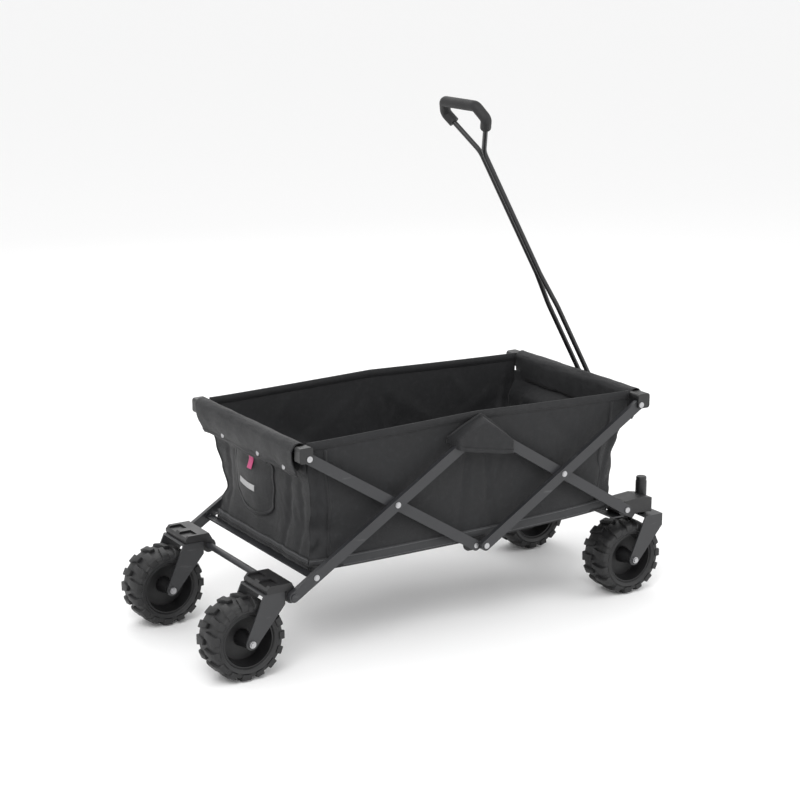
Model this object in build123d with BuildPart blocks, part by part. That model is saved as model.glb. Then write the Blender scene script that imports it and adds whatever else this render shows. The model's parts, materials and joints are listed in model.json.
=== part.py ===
from build123d import *
import os
from math import atan2, cos, degrees, hypot, radians, sin, tan

os.makedirs("parts", exist_ok=True)

# Folding camp wagon. +X points to the handle end, +Y to the left side, +Z up, floor at Z 0.
# The origin is on the floor below the middle of the whole wagon. Sizes in millimetres.

# ---- folding frame: two X-shaped scissors on each side, joined at two middle hubs ----
frame_width = 543        # over the outer arms
arm_half = 262           # crossing rivet to each pivot
rest_angle = 32.1        # arms above the horizontal when the wagon is open
crossing_height = 355
hub_half = 10            # half the spacing of the two pivots on a middle hub
rear_foot = 316          # crossing rivet to the rear block pivot
front_foot = 240         # crossing rivet to the front block pivot
arm_height = 25
arm_thickness = 12
arm_wall = 1.5
arm_gap = 1              # between the outer and the inner arm
pivot_radius = 4
pivot_clearance = 0.08
open_pivot_clearance = 1.2
head_radius = 7
head_thickness = 2.5

# ---- wheels ----
wheel_radius = 93
tyre_width = 90
rim_radius = 61
rim_width = 76
axle_radius = 5
bush_radius = 8
wheel_track = 403.2
trail = 58               # wheel centre behind the middle of its yoke

# ---- yokes, blocks and casters ----
yoke_length = 52
yoke_plate = 4
yoke_side_gap = 6        # tyre to leg
yoke_top_gap = 10        # tyre to crown
leg_end_radius = 14
axle_head_radius = 8
axle_head_length = 8
rear_crown_back = 41.7   # crown middle behind the rear pivot
front_stem_ahead = 87.4  # caster stem in front of the front pivot
base_tube_radius = 8
base_stud_radius = 5
block_wall = 9
block_top = 18
stem_radius = 6
housing_radius = 14
housing_height = 78
caster_washer = 2
tie_bar_width = 22
tie_bar_thickness = 4

# ---- top rails ----
rail_radius = 8
rail_out = 12            # rail centre outside its pivot
rail_up = 14             # rail centre above its pivot
sleeve_radius = 17
corner_wall = 5

# ---- hubs and bars ----
hub_plate = 4
hub_plate_height = 30
hub_bar_radius = 6
floor_bar_back = 250     # crossing rivet to the rear floor bar
floor_bar_width = 22
floor_bar_thickness = 4

# ---- basket ----
fabric = 1.5
basket_gap = 2.5         # fabric to hub plate
basket_bottom = 226
basket_top = 521
rear_panel_in = 6        # basket end inside the top pivot
front_panel_in = 7
front_panel_slope = 31   # how far the front panel's foot stands back
board_thickness = 5
board_gap = 1
board_side_gap = 3
centre_plate_thickness = 3
rear_board_lengths = (195, 188)
front_board_lengths = (172, 164)
centre_plate_lap = 15

# ---- handle ----
handle_radius = 6
handle_pivot_ahead = 69.8
handle_pivot_up = 17.5
handle_lean = 28.8
handle_bend_up = 255     # bend above the handle pivot
rod_half_spacing = 19.5
rod_half_close = 7.2
close_start = 227        # distances along the leaning rods, from the bend
close_end = 322
fork_start = 677
grip_shoulder = 777
grip_top = 810
grip_half_wide = 86
grip_half_straight = 66
grip_radius = 13
grip_clearance = 0.1
handle_ear = 4
handle_eye_radius = 10
handle_eye_extra = 0.5    # eye face beyond the rod's side
rest_clearance = 0.8     # rods to the front rail's sleeve

# ---- places worked out from the sizes ----
reach_x = cos(radians(rest_angle))
reach_z = sin(radians(rest_angle))
half_width = frame_width / 2
outer_low = half_width - arm_thickness
inner_high = outer_low - arm_gap
inner_low = inner_high - arm_thickness
crossing_reach = hub_half + arm_half * reach_x
wheel_y = wheel_track / 2
rear_reach = crossing_reach + rear_foot * reach_x + rear_crown_back + trail + wheel_radius
front_reach = crossing_reach + front_foot * reach_x + front_stem_ahead - trail + wheel_radius
hub_x = (rear_reach - front_reach) / 2

rear_crossing = (hub_x - crossing_reach, crossing_height)
front_crossing = (hub_x + crossing_reach, crossing_height)


def along(start, distance, forward, upward):
    """Point at a distance from a start along an arm's direction, as (x, z)."""
    return (start[0] + forward * distance * reach_x, start[1] + upward * distance * reach_z)


rear_pivot = along(rear_crossing, rear_foot, -1, -1)
front_pivot = along(front_crossing, front_foot, 1, -1)
rear_top_pivot = along(rear_crossing, arm_half, -1, 1)
front_top_pivot = along(front_crossing, arm_half, 1, 1)
hub_top_rear = along(rear_crossing, arm_half, 1, 1)
hub_top_front = along(front_crossing, arm_half, -1, 1)
hub_low_rear = along(rear_crossing, arm_half, 1, -1)
hub_low_front = along(front_crossing, arm_half, -1, -1)
floor_bar_place = along(rear_crossing, floor_bar_back, -1, -1)
hub_plate_high = inner_low - arm_gap * 2
hub_plate_low = hub_plate_high - hub_plate
basket_half = hub_plate_low - basket_gap
panel_half = basket_half - fabric - 0.5
board_half = panel_half - board_side_gap
crown_low = wheel_radius * 2 + yoke_top_gap
crown_high = crown_low + yoke_plate
rear_crown_x = rear_pivot[0] - rear_crown_back
front_stem_x = front_pivot[0] + front_stem_ahead
yoke_inner = tyre_width / 2 + yoke_side_gap
yoke_outer = yoke_inner + yoke_plate
rear_rail_place = (rear_top_pivot[0] - rail_out, rear_top_pivot[1] + rail_up)
front_rail_place = (front_top_pivot[0] + rail_out, front_top_pivot[1] + rail_up)


def save(builder, name):
    """Label a finished sub-part and write its file."""
    builder.part.label = name
    export_step(builder.part, f"parts/{name}.step")


def side(y):
    """Upright plane along the wagon at one Y; sketches on it use X and Z."""
    return Plane.XZ.offset(-y)


def bar(place, radius, y_low, y_high, mode=Mode.ADD):
    """Round bar, or hole, along Y through an (x, z) place."""
    centre = (place[0], (y_low + y_high) / 2, place[1])
    with Locations(Plane(origin=centre, z_dir=(0, 1, 0))):
        Cylinder(radius, y_high - y_low, mode=mode)


def block(x_span, y_span, z_span, mode=Mode.ADD):
    """Box between two limits on each axis."""
    spans = (x_span, y_span, z_span)
    sizes = [high - low for low, high in spans]
    with Locations(tuple((low + high) / 2 for low, high in spans)):
        Box(*sizes, mode=mode)


# ---- scissor arms ----
def arm_pair(name, start, end, y_low, y_high, holes):
    """Two hollow flat-oval arms, left and right, with pivot holes given as (place, radius)."""
    middle = ((start[0] + end[0]) / 2, (start[1] + end[1]) / 2)
    length = hypot(end[0] - start[0], end[1] - start[1])
    tilt = degrees(atan2(end[1] - start[1], end[0] - start[0]))
    with BuildPart() as arms:
        with BuildSketch(side(y_high)):
            with Locations(middle):
                SlotCenterToCenter(length, arm_height, rotation=tilt)
        extrude(amount=y_high - y_low)
        with BuildSketch(side(y_high - arm_wall)):
            with Locations(middle):
                SlotCenterToCenter(length, arm_height - 2 * arm_wall, rotation=tilt)
        extrude(amount=y_high - y_low - 2 * arm_wall, mode=Mode.SUBTRACT)
        for place, radius in holes:
            bar(place, radius, y_low, y_high, mode=Mode.SUBTRACT)
        mirror(about=Plane.XZ)
    save(arms, name)


pivot_hole = pivot_radius + pivot_clearance
stud_hole = base_stud_radius + pivot_clearance
arm_pair(
    "rear_outer_arms", rear_pivot, hub_top_rear, outer_low, half_width,
    [(rear_pivot, stud_hole), (floor_bar_place, pivot_hole),
     (rear_crossing, pivot_hole), (hub_top_rear, pivot_hole)],
)
arm_pair(
    "rear_inner_arms", rear_top_pivot, hub_low_rear, inner_low, inner_high,
    [(rear_top_pivot, pivot_hole), (rear_crossing, pivot_hole), (hub_low_rear, pivot_hole)],
)
arm_pair(
    "front_outer_arms", hub_low_front, front_top_pivot, outer_low, half_width,
    [(hub_low_front, pivot_radius + open_pivot_clearance),
     (front_crossing, pivot_hole), (front_top_pivot, pivot_hole)],
)
arm_pair(
    "front_inner_arms", hub_top_front, front_pivot, inner_low, inner_high,
    [(hub_top_front, pivot_hole), (front_pivot, stud_hole), (front_crossing, pivot_hole)],
)


# ---- rivets through the arms ----
def rivet(place, y_low, y_high):
    """Rivet along Y with a domed outer head."""
    bar(place, pivot_radius, y_low, y_high)
    bar(place, head_radius, y_high, y_high + head_thickness / 2)
    bar(place, head_radius * 0.7, y_high + head_thickness / 2, y_high + head_thickness)


def crossing_rivet(place, y_low):
    """Rivet through both arms, with a flat inner head."""
    rivet(place, y_low, half_width)
    bar(place, head_radius, y_low - head_thickness / 2, y_low)


with BuildPart() as rear_arm_rivets:
    crossing_rivet(rear_crossing, inner_low)
    rivet(floor_bar_place, outer_low - floor_bar_thickness, half_width)
    mirror(about=Plane.XZ)
save(rear_arm_rivets, "rear_arm_rivets")

with BuildPart() as front_arm_rivets:
    crossing_rivet(front_crossing, inner_low - arm_gap / 2)
    mirror(about=Plane.XZ)
save(front_arm_rivets, "front_arm_rivets")

# ---- flat bar under the rear edge of the basket, with a riveted tab at each end ----
bar_tab_low = outer_low - floor_bar_thickness
with BuildPart() as rear_floor_bar:
    block(
        (floor_bar_place[0] - floor_bar_width / 2, floor_bar_place[0] + floor_bar_width / 2),
        (-bar_tab_low, bar_tab_low),
        (floor_bar_place[1] - floor_bar_thickness, floor_bar_place[1]),
    )
    with BuildSketch(side(outer_low)):
        with Locations(floor_bar_place):
            Circle(floor_bar_width / 2)
    extrude(amount=floor_bar_thickness)
    bar(floor_bar_place, pivot_hole, bar_tab_low, outer_low, mode=Mode.SUBTRACT)
    mirror(about=Plane.XZ)
save(rear_floor_bar, "rear_floor_bar")


# ---- middle hubs: an inner plate on each side, two pins each ----
def hub_plates(name, first, second):
    """Oval plate behind the two pivots of a middle hub, left and right."""
    centre = ((first[0] + second[0]) / 2, first[1])
    with BuildPart() as plates:
        with BuildSketch(side(hub_plate_high)):
            with Locations(centre):
                SlotOverall(hub_plate_height + 4 * hub_half, hub_plate_height)
            with Locations(first, second):
                Circle(pivot_hole, mode=Mode.SUBTRACT)
        extrude(amount=hub_plate)
        mirror(about=Plane.XZ)
    save(plates, name)


def hub_pins(name, inner_place, outer_place):
    """Pin through the inner arm and longer pin through the outer arm, left and right."""
    with BuildPart() as pins:
        bar(inner_place, pivot_radius, hub_plate_low, inner_high)
        bar(outer_place, pivot_radius, hub_plate_low, half_width)
        bar(inner_place, pivot_radius * 1.5, inner_high, inner_high + arm_gap * 0.8)
        bar(outer_place, head_radius, half_width, half_width + head_thickness)
        mirror(about=Plane.XZ)
    save(pins, name)


hub_plates("top_hub_plates", hub_top_rear, hub_top_front)
hub_pins("top_hub_pins", hub_top_front, hub_top_rear)
hub_plates("bottom_hub_plates", hub_low_rear, hub_low_front)
hub_pins("bottom_hub_pins", hub_low_rear, hub_low_front)

with BuildPart() as bottom_hub_bar:
    bar((hub_x, hub_low_rear[1]), hub_bar_radius, -hub_plate_low, hub_plate_low)
save(bottom_hub_bar, "bottom_hub_bar")

# ---- rear base: cross tube on the pivot line, two blocks, two fixed yokes ----
stud_end = half_width + head_thickness
with BuildPart() as rear_cross_tube:
    bar(rear_pivot, base_tube_radius, -outer_low + arm_gap / 2, outer_low - arm_gap / 2)
    bar(rear_pivot, base_stud_radius, -stud_end, stud_end)
    for edge in (-stud_end, half_width + 0.4):
        bar(rear_pivot, base_tube_radius, edge, edge + head_thickness - 0.4)
save(rear_cross_tube, "rear_cross_tube")

block_high = outer_low - arm_gap * 1.5
block_low = wheel_y - yoke_outer + 2
crown_back_x = rear_crown_x - yoke_length / 2
crown_front_x = rear_crown_x + yoke_length / 2
block_radius = base_tube_radius + block_wall
with BuildPart() as rear_blocks:
    with BuildSketch(side(block_high)):
        with Locations(rear_pivot):
            Circle(block_radius)
        with BuildLine():
            Polyline(
                (crown_back_x + 6, crown_high),
                (crown_back_x + 6, crown_high + block_top * 0.5),
                (crown_back_x + 14, crown_high + block_top),
                (rear_pivot[0], crown_high + block_top),
                (rear_pivot[0] + block_radius, rear_pivot[1]),
                (rear_pivot[0], crown_high),
                close=True,
            )
        make_face()
    extrude(amount=block_high - block_low)
    fillet(rear_blocks.edges().filter_by(Axis.Y).group_by(Axis.X)[0], radius=3)
    for y_middle in (wheel_y - yoke_outer / 2, wheel_y + yoke_outer / 2):
        block(
            (rear_crown_x - 16, rear_crown_x + 14),
            (y_middle - yoke_outer * 0.32, y_middle + yoke_outer * 0.32),
            (crown_high + block_top - 5, crown_high + block_top + 1),
            mode=Mode.SUBTRACT,
        )
    block(
        (crown_back_x - 1, crown_front_x + 0.5), (block_low - 1, block_high + 1),
        (0, crown_high), mode=Mode.SUBTRACT,
    )
    bar(rear_pivot, base_tube_radius, block_low - 1, block_high + 1, mode=Mode.SUBTRACT)
    mirror(about=Plane.XZ)
save(rear_blocks, "rear_blocks")


# ---- wheel yokes: bent flat steel, a crown and two tapering legs ----
def yoke(crown_x, y_centres):
    """Inverted U over each wheel; the wheel centre trails behind the crown."""
    axle = (crown_x - trail, wheel_radius)
    with BuildPart() as yokes:
        for y_centre in y_centres:
            with BuildSketch(side(y_centre + yoke_outer)):
                with BuildSketch(mode=Mode.PRIVATE) as corners:
                    with Locations((crown_x, crown_high - 15)):
                        Rectangle(yoke_length, 30)
                    with Locations(axle):
                        Circle(leg_end_radius)
                make_hull(corners.edges())
            extrude(amount=2 * yoke_outer)
            block(
                (axle[0] - 30, crown_x + yoke_length),
                (y_centre - yoke_inner, y_centre + yoke_inner),
                (0, crown_low),
                mode=Mode.SUBTRACT,
            )
            bar(axle, axle_radius, y_centre - yoke_outer, y_centre + yoke_outer, Mode.SUBTRACT)
    return yokes


rear_yokes = yoke(rear_crown_x, (wheel_y, -wheel_y))
save(rear_yokes, "rear_yokes")


# ---- wheels: rubber tyre, plastic rim, two bushes; each on its own bolt ----
def wheel_plane(wheel_x, wheel_centre_y):
    """Plane at a wheel's centre whose normal is the axle."""
    return Plane(origin=(wheel_x, wheel_centre_y, wheel_radius), x_dir=(1, 0, 0), z_dir=(0, 1, 0))


def wheel(prefix, wheel_x, wheel_centre_y):
    """Tyre, rim and bushes of one wheel."""
    plane = wheel_plane(wheel_x, wheel_centre_y)
    axis = Axis((wheel_x, wheel_centre_y, wheel_radius), (0, 1, 0))
    half = tyre_width / 2
    rim_half = rim_width / 2
    outline = Plane(origin=plane.origin, x_dir=(0, 1, 0), z_dir=(1, 0, 0))
    with BuildPart() as tyre:
        with BuildSketch(outline):
            with BuildLine():
                Polyline(
                    (-rim_half, rim_radius + 0.1), (-half + 2, rim_radius + 5),
                    (-half, wheel_radius - 14), (-half + 5, wheel_radius - 4),
                    (-half + 16, wheel_radius), (half - 16, wheel_radius),
                    (half - 5, wheel_radius - 4), (half, wheel_radius - 14),
                    (half - 2, rim_radius + 5), (rim_half, rim_radius + 0.1), close=True,
                )
            make_face()
        revolve(axis=axis)
    save(tyre, f"{prefix}_tyre")

    with BuildPart() as rim:
        with BuildSketch(outline):
            with BuildLine():
                Polyline(
                    (-rim_half, rim_radius), (rim_half, rim_radius),
                    (rim_half, rim_radius - 3), (4, rim_radius - 9),
                    (4, bush_radius + 12), (yoke_inner - 4, bush_radius + 5),
                    (yoke_inner - 4, bush_radius), (-yoke_inner + 4, bush_radius),
                    (-yoke_inner + 4, bush_radius + 5), (-4, bush_radius + 12),
                    (-4, rim_radius - 9), (-rim_half, rim_radius - 3), close=True,
                )
            make_face()
        revolve(axis=axis)
    save(rim, f"{prefix}_rim")

    with BuildPart() as bushes:
        for end in (-1, 1):
            with Locations(plane.offset(end * (yoke_inner - 12))):
                Cylinder(bush_radius, 16)
            with Locations(plane.offset(end * (yoke_inner - 2.5))):
                Cylinder(bush_radius + 3, 3)
        with Locations(plane):
            Cylinder(axle_radius + pivot_clearance, 2 * yoke_inner, mode=Mode.SUBTRACT)
    save(bushes, f"{prefix}_bushes")


def axle_bolt(wheel_x, y_centre):
    """Bolt through both yoke legs, with a domed head and a nut."""
    place = (wheel_x, wheel_radius)
    bar(place, axle_radius, y_centre - yoke_outer, y_centre + yoke_outer)
    for end in (-1, 1):
        face = y_centre + end * yoke_outer
        tip = face + end * axle_head_length
        neck = face + end * axle_head_length * 0.6
        bar(place, axle_head_radius, min(face, neck), max(face, neck))
        bar(place, axle_head_radius * 0.7, min(neck, tip), max(neck, tip))


rear_wheel_x = rear_crown_x - trail
front_wheel_x = front_stem_x - trail
with BuildPart() as rear_axle_bolts:
    axle_bolt(rear_wheel_x, wheel_y)
    axle_bolt(rear_wheel_x, -wheel_y)
save(rear_axle_bolts, "rear_axle_bolts")

for end_name, wheel_x in (("rear", rear_wheel_x), ("front", front_wheel_x)):
    for side_name, y_centre in (("left", wheel_y), ("right", -wheel_y)):
        wheel(f"{end_name}_{side_name}", wheel_x, y_centre)

# ---- front casters: yoke, kingpin and axle bolt ----
housing_low = crown_high + caster_washer
housing_high = housing_low + housing_height
for side_name, y_centre in (("left", wheel_y), ("right", -wheel_y)):
    caster_yoke = yoke(front_stem_x, (y_centre,))
    save(caster_yoke, f"front_{side_name}_yoke")
    with BuildPart() as caster_bolts:
        axle_bolt(front_wheel_x, y_centre)
        with Locations((front_stem_x, y_centre, crown_high)):
            Cylinder(stem_radius, housing_height, align=(Align.CENTER, Align.CENTER, Align.MIN))
            Cylinder(
                housing_radius - 2, caster_washer - 0.4,
                align=(Align.CENTER, Align.CENTER, Align.MIN),
            )
    save(caster_bolts, f"front_{side_name}_bolts")

# ---- front base: block and stem housing on each side, joined by a flat tie bar ----
front_block_high = inner_low - arm_gap * 1.5
front_block_low = wheel_y - housing_radius
with BuildPart() as front_blocks:
    with BuildSketch(side(front_block_high)):
        with Locations(front_pivot):
            Circle(block_radius)
        with BuildLine():
            Polyline(
                (front_pivot[0], front_pivot[1] - 14),
                (front_stem_x, housing_low + 4),
                (front_stem_x, housing_low + 40),
                (front_stem_x - 30, housing_low + 46),
                (front_pivot[0] + 4, front_pivot[1] + block_radius),
                close=True,
            )
        make_face()
    extrude(amount=front_block_high - front_block_low)
    with Locations((front_stem_x, wheel_y, housing_low)):
        Cylinder(
            housing_radius, housing_height - 6, align=(Align.CENTER, Align.CENTER, Align.MIN)
        )
        Cylinder(
            stem_radius + pivot_clearance, housing_height,
            align=(Align.CENTER, Align.CENTER, Align.MIN), mode=Mode.SUBTRACT,
        )
    bar(
        front_pivot, base_tube_radius + pivot_clearance,
        front_block_low - 1, front_block_high + 1, mode=Mode.SUBTRACT,
    )
    mirror(about=Plane.XZ)
save(front_blocks, "front_blocks")

with BuildPart() as stem_caps:
    for y_centre in (wheel_y, -wheel_y):
        with Locations((front_stem_x, y_centre, housing_high - 6)):
            Cylinder(
                housing_radius - 1, 12, align=(Align.CENTER, Align.CENTER, Align.MIN)
            )
            Cylinder(
                stem_radius + 1, 8, align=(Align.CENTER, Align.CENTER, Align.MIN),
                mode=Mode.SUBTRACT,
            )
    fillet(stem_caps.edges().group_by(Axis.Z)[-1], radius=3)
save(stem_caps, "stem_caps")

tie_bar_x = front_pivot[0] - block_radius - tie_bar_width / 2 + 6
tie_bar_z = front_pivot[1] - block_radius - tie_bar_thickness
with BuildPart() as front_tie_bar:
    block(
        (tie_bar_x - tie_bar_width / 2, front_pivot[0]),
        (-front_block_high, front_block_high),
        (tie_bar_z, tie_bar_z + tie_bar_thickness),
    )
    block(
        (tie_bar_x + tie_bar_width / 2, front_pivot[0] + 1),
        (-front_block_low, front_block_low),
        (tie_bar_z - 1, tie_bar_z + tie_bar_thickness + 1),
        mode=Mode.SUBTRACT,
    )
save(front_tie_bar, "front_tie_bar")

# ---- front cross tube on the inner arms, with the handle's bracket ----
with BuildPart() as front_cross_tube:
    bar(front_pivot, base_tube_radius, -inner_low, inner_low)
save(front_cross_tube, "front_cross_tube")

with BuildPart() as front_foot_rivets:
    bar(front_pivot, base_stud_radius, inner_low, inner_high)
    bar(front_pivot, head_radius, inner_high, inner_high + head_thickness)
    mirror(about=Plane.XZ)
save(front_foot_rivets, "front_foot_rivets")

handle_pivot = (front_pivot[0] + handle_pivot_ahead, front_pivot[1] + handle_pivot_up)
ear_low = rod_half_spacing + handle_radius + handle_eye_extra + 0.5
bracket_radius = base_tube_radius + 4
with BuildPart() as handle_bracket:
    with BuildSketch(side(ear_low + handle_ear)):
        with BuildSketch(mode=Mode.PRIVATE) as ear:
            with Locations(front_pivot):
                Circle(bracket_radius)
            with Locations(handle_pivot):
                Circle(handle_eye_radius)
        make_hull(ear.edges())
        with Locations(handle_pivot):
            Circle(pivot_hole, mode=Mode.SUBTRACT)
    extrude(amount=2 * (ear_low + handle_ear))
    block(
        (front_pivot[0] + bracket_radius + 4, handle_pivot[0] + 20),
        (-ear_low, ear_low),
        (front_pivot[1] - 40, handle_pivot[1] + 40),
        mode=Mode.SUBTRACT,
    )
    bar(front_pivot, base_tube_radius, -ear_low - 9, ear_low + 9, mode=Mode.SUBTRACT)
save(handle_bracket, "handle_bracket")

with BuildPart() as handle_pin:
    bar(handle_pivot, pivot_radius, -ear_low - handle_ear, ear_low + handle_ear)
    for face in (-ear_low - handle_ear - head_thickness, ear_low + handle_ear):
        bar(handle_pivot, head_radius, face, face + head_thickness)
save(handle_pin, "handle_pin")

# ---- handle: one bent rod with two legs and a D-shaped grip, resting on the front rail ----
lean_x = -sin(radians(handle_lean))
lean_z = cos(radians(handle_lean))
rest_distance = sleeve_radius + handle_radius + rest_clearance
bend_z = handle_pivot[1] + handle_bend_up
rest_x = front_rail_place[0] + rest_distance * lean_z
rest_z = front_rail_place[1] - rest_distance * lean_x
bend_x = rest_x + (rest_z - bend_z) * tan(radians(handle_lean))


def on_handle(y, distance):
    """Point on the leaning part of the handle, by distance from the bend."""
    return (bend_x + distance * lean_x, y, bend_z + distance * lean_z)


left_leg = [
    (handle_pivot[0], rod_half_spacing, handle_pivot[1]),
    (bend_x, rod_half_spacing, bend_z),
    on_handle(rod_half_spacing, close_start),
    on_handle(rod_half_close, close_end),
    on_handle(rod_half_close, fork_start),
    on_handle(grip_half_wide, grip_shoulder),
    on_handle(grip_half_straight, grip_top),
]
right_leg = [(x, -y, z) for x, y, z in reversed(left_leg)]
leg_bends = [60, 120, 120, 40, 14, 14]
with BuildPart() as handle_tube:
    with BuildLine() as handle_path:
        FilletPolyline(*left_leg, *right_leg, radius=leg_bends + leg_bends[::-1])
    with BuildSketch(Plane(origin=handle_path.line @ 0, z_dir=handle_path.line % 0)):
        Circle(handle_radius)
    sweep()
    eye_half = handle_radius + handle_eye_extra
    for y_rod in (rod_half_spacing, -rod_half_spacing):
        bar(handle_pivot, handle_eye_radius - 1, y_rod - eye_half, y_rod + eye_half)
    bar(handle_pivot, pivot_hole, -ear_low, ear_low, mode=Mode.SUBTRACT)
save(handle_tube, "handle_tube")

grip_start = 0.25
shoulder = Vector(*on_handle(grip_half_wide, grip_shoulder))
fork = Vector(*on_handle(rod_half_close, fork_start))
grip_left = [
    tuple(shoulder + (fork - shoulder) * grip_start),
    on_handle(grip_half_wide, grip_shoulder),
    on_handle(grip_half_straight, grip_top),
]
grip_right = [(x, -y, z) for x, y, z in reversed(grip_left)]
with BuildPart() as handle_grip:
    with BuildLine() as grip_path:
        FilletPolyline(*grip_left, *grip_right, radius=[14, 14, 14, 14])
    with BuildSketch(Plane(origin=grip_path.line @ 0, z_dir=grip_path.line % 0)):
        Circle(grip_radius)
        Circle(handle_radius + grip_clearance, mode=Mode.SUBTRACT)
    sweep()
save(handle_grip, "handle_grip")


# ---- top rails with their corner brackets, pins and padded sleeves ----
def top_rail(end_name, out, pivot, rail_place, arm_low, arm_high):
    """Rail across one end; out is -1 at the rear and 1 at the front."""
    ear_inner = basket_half + basket_gap
    rail_end = ear_inner + corner_wall - 1
    slot_low = arm_low - 0.8
    slot_high = arm_high + 0.8
    reach = arm_height / 2 + 1
    with BuildPart() as rail:
        bar(rail_place, rail_radius, -rail_end, rail_end)
    save(rail, f"{end_name}_rail")

    outside = pivot[0] + out * (rail_out + rail_radius + corner_wall)
    inside = pivot[0] - out * (pivot_radius + corner_wall)
    clear_far = pivot[0] - out * 60
    clear_near = pivot[0] + out * reach
    with BuildPart() as corners:
        block(
            (min(outside, inside), max(outside, inside)),
            (ear_inner, slot_high + corner_wall),
            (pivot[1] - pivot_radius - corner_wall, rail_place[1] + rail_radius + corner_wall),
        )
        fillet(corners.edges().filter_by(Axis.Y), radius=7)
        block(
            (min(clear_near, clear_far), max(clear_near, clear_far)),
            (slot_low, slot_high),
            (pivot[1] - 60, pivot[1] + reach),
            mode=Mode.SUBTRACT,
        )
        bar(rail_place, rail_radius, ear_inner - 1, rail_end, mode=Mode.SUBTRACT)
        bar(pivot, pivot_radius, ear_inner - 1, slot_high + corner_wall + 1, mode=Mode.SUBTRACT)
        mirror(about=Plane.XZ)
    save(corners, f"{end_name}_corners")

    with BuildPart() as pins:
        bar(pivot, pivot_radius, ear_inner, slot_high + corner_wall)
        bar(
            pivot, head_radius, slot_high + corner_wall,
            slot_high + corner_wall + head_thickness / 2,
        )
        mirror(about=Plane.XZ)
    save(pins, f"{end_name}_corner_pins")

    with BuildPart() as sleeve:
        bar(rail_place, sleeve_radius, -basket_half + 2, basket_half - 2)
        bar(rail_place, rail_radius + 0.3, -basket_half, basket_half, mode=Mode.SUBTRACT)
    save(sleeve, f"{end_name}_rail_sleeve")


top_rail("rear", -1, rear_top_pivot, rear_rail_place, inner_low, inner_high)
top_rail("front", 1, front_top_pivot, front_rail_place, outer_low, half_width)

# ---- basket fabric: two sides, floor and two end panels ----
rear_inside = rear_top_pivot[0] + rear_panel_in
front_inside = front_top_pivot[0] - front_panel_in
front_foot_x = front_inside - front_panel_slope
panel_top = rear_rail_place[1] - sleeve_radius - 2
floor_high = basket_bottom + fabric
front_slope = front_panel_slope / (panel_top - basket_bottom)


def basket_side(name, y_low):
    """Side wall between the end panels, from the basket's bottom to its rim."""
    with BuildPart() as wall:
        with BuildSketch(side(y_low + fabric)):
            Polygon(
                (rear_inside, basket_bottom), (front_foot_x, basket_bottom),
                (front_inside, panel_top), (front_inside, basket_top),
                (rear_inside, basket_top), align=None,
            )
        extrude(amount=fabric)
    save(wall, name)


basket_side("basket_side_left", basket_half - fabric)
basket_side("basket_side_right", -basket_half)

with BuildPart() as basket_floor:
    block((rear_inside, front_foot_x), (-panel_half, panel_half), (basket_bottom, floor_high))
save(basket_floor, "basket_floor")

with BuildPart() as rear_panel:
    block(
        (rear_inside - fabric, rear_inside), (-panel_half, panel_half),
        (floor_high + 1, panel_top),
    )
save(rear_panel, "rear_panel")

with BuildPart() as front_panel:
    with BuildSketch(side(panel_half)):
        foot = front_foot_x + front_slope * (fabric + 1)
        Polygon(
            (foot, floor_high + 1), (foot + fabric, floor_high + 1),
            (front_inside + fabric, panel_top), (front_inside, panel_top), align=None,
        )
    extrude(amount=2 * panel_half)
save(front_panel, "front_panel")

# ---- floor boards: two hinged pairs that fold upwards over a loose centre plate ----
centre_low = floor_high + 0.5
centre_high = centre_low + centre_plate_thickness
board_low = centre_high + board_gap
rear_board_end = rear_inside + fabric + 4
front_board_end = front_foot_x - 8


def board(name, low, high):
    """Flat floor board between two X limits."""
    with BuildPart() as panel:
        block((low, high), (-board_half, board_half), (board_low, board_low + board_thickness))
        fillet(panel.edges().filter_by(Axis.Z), radius=10)
    save(panel, name)


rear_fold = rear_board_end + rear_board_lengths[0]
rear_inner_end = rear_fold + rear_board_lengths[1]
front_fold = front_board_end - front_board_lengths[0]
front_inner_end = front_fold - front_board_lengths[1]
board("board_rear_outer", rear_board_end + board_gap, rear_fold - board_gap)
board("board_rear_inner", rear_fold + board_gap, rear_inner_end)
board("board_front_inner", front_inner_end, front_fold - board_gap)
board("board_front_outer", front_fold + board_gap, front_board_end - board_gap)

with BuildPart() as centre_board:
    block(
        (rear_inner_end - centre_plate_lap, front_inner_end + centre_plate_lap),
        (-board_half, board_half), (centre_low, centre_high),
    )
save(centre_board, "centre_board")
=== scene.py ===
import json
import math

import bmesh
import bpy
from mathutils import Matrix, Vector, noise


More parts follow.
